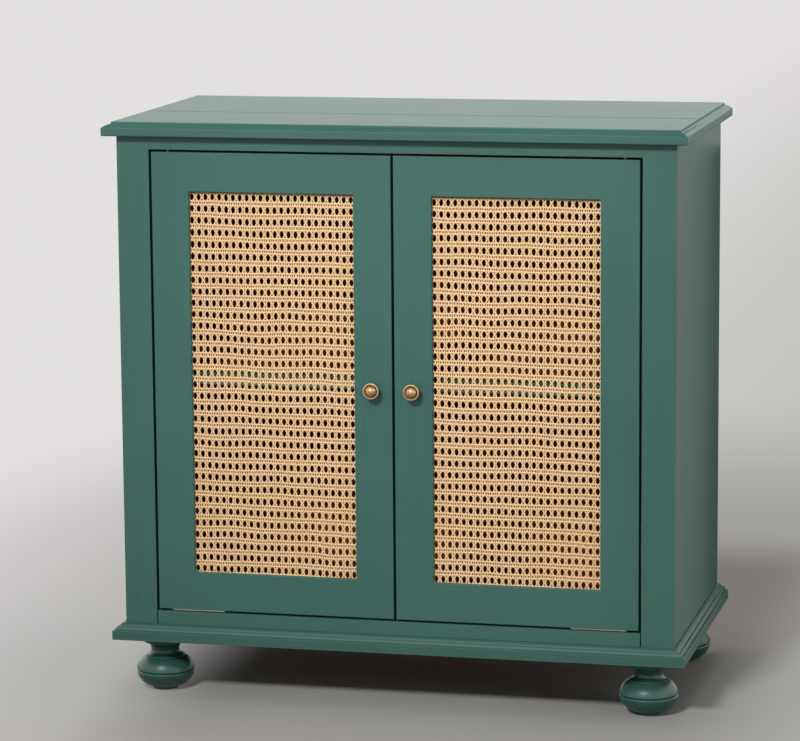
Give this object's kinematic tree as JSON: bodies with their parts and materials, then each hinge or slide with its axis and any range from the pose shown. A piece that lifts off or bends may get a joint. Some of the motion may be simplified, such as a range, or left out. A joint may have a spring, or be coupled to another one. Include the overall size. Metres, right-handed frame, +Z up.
{
  "type": "record cabinet",
  "caption": "Upright wooden cabinet with hinged doors of woven cane, a shelved inside for records, a moulded top and base, and turned bun feet.",
  "frame": {"origin": "on the floor, in the middle of the width, and midway between the knobs and the back", "axes": "+X to the right as one faces the doors, +Y towards the back, +Z up"},
  "size_m": [0.887, 0.468, 0.884],
  "materials": {
    "green_paint": "satin green paint",
    "base_paint": "satin dark green paint",
    "stained_wood": "dark brown stain",
    "back_board": "dark brown stain on thin board",
    "cane": "natural woven cane",
    "brass": "aged",
    "hinge_metal": "satin",
    "screw_steel": "plain",
    "catch_plastic": "brown"
  },
  "bodies": {
    "cabinet": {"top_board_front": "green_paint", "top_board_rear": "green_paint", "side_panel_left": "green_paint", "side_panel_right": "green_paint", "floor_panel": "stained_wood", "shelf": "stained_wood", "shelf_pins": "hinge_metal", "back_panel": "back_board", "rear_top_rail": "stained_wood", "face_frame_stile_left": "green_paint", "face_frame_stile_right": "green_paint", "face_frame_rail_top": "green_paint", "face_frame_rail_bottom": "green_paint", "plinth_rail_front": "stained_wood", "plinth_rail_rear": "stained_wood", "plinth_rail_left": "stained_wood", "plinth_rail_right": "stained_wood", "base_moulding_front": "base_paint", "base_moulding_left": "base_paint", "base_moulding_right": "base_paint", "foot_front_left": "base_paint", "foot_front_right": "base_paint", "foot_rear_left": "base_paint", "foot_rear_right": "base_paint", "foot_bolts": "screw_steel", "frame_hinge_leaf_bottom_left": "hinge_metal", "frame_hinge_leaf_bottom_right": "hinge_metal", "frame_hinge_leaf_top_left": "hinge_metal", "frame_hinge_leaf_top_right": "hinge_metal", "frame_hinge_screws": "hinge_metal", "top_screws": "screw_steel", "plinth_screws": "screw_steel", "back_panel_screws": "screw_steel", "catch_block": "stained_wood", "magnetic_catch": "catch_plastic", "catch_screws": "screw_steel"},
    "left_door": {"left_door_hinge_stile": "green_paint", "left_door_lock_stile": "green_paint", "left_door_rail_bottom": "green_paint", "left_door_rail_top": "green_paint", "left_door_cane": "cane", "left_door_cane_beads": "stained_wood", "left_door_hinge_leaf_bottom": "hinge_metal", "left_door_hinge_leaf_top": "hinge_metal", "left_door_screws": "hinge_metal", "left_door_knob": "brass", "left_door_knob_screw": "screw_steel", "left_door_strike_plate": "screw_steel"},
    "right_door": {"right_door_hinge_stile": "green_paint", "right_door_lock_stile": "green_paint", "right_door_rail_bottom": "green_paint", "right_door_rail_top": "green_paint", "right_door_cane": "cane", "right_door_cane_beads": "stained_wood", "right_door_hinge_leaf_bottom": "hinge_metal", "right_door_hinge_leaf_top": "hinge_metal", "right_door_screws": "hinge_metal", "right_door_knob": "brass", "right_door_knob_screw": "screw_steel", "right_door_strike_plate": "screw_steel"}
  },
  "joints": [
    {"name": "left_door_hinge", "type": "hinge", "parent": "cabinet", "child": "left_door", "pos_m": [-0.3477, -0.2025, 0.488], "axis": [0, 0, -1], "range_deg": [0, 110]},
    {"name": "right_door_hinge", "type": "hinge", "parent": "cabinet", "child": "right_door", "pos_m": [0.3477, -0.2025, 0.488], "axis": [0, 0, 1], "range_deg": [0, 110]}
  ]
}
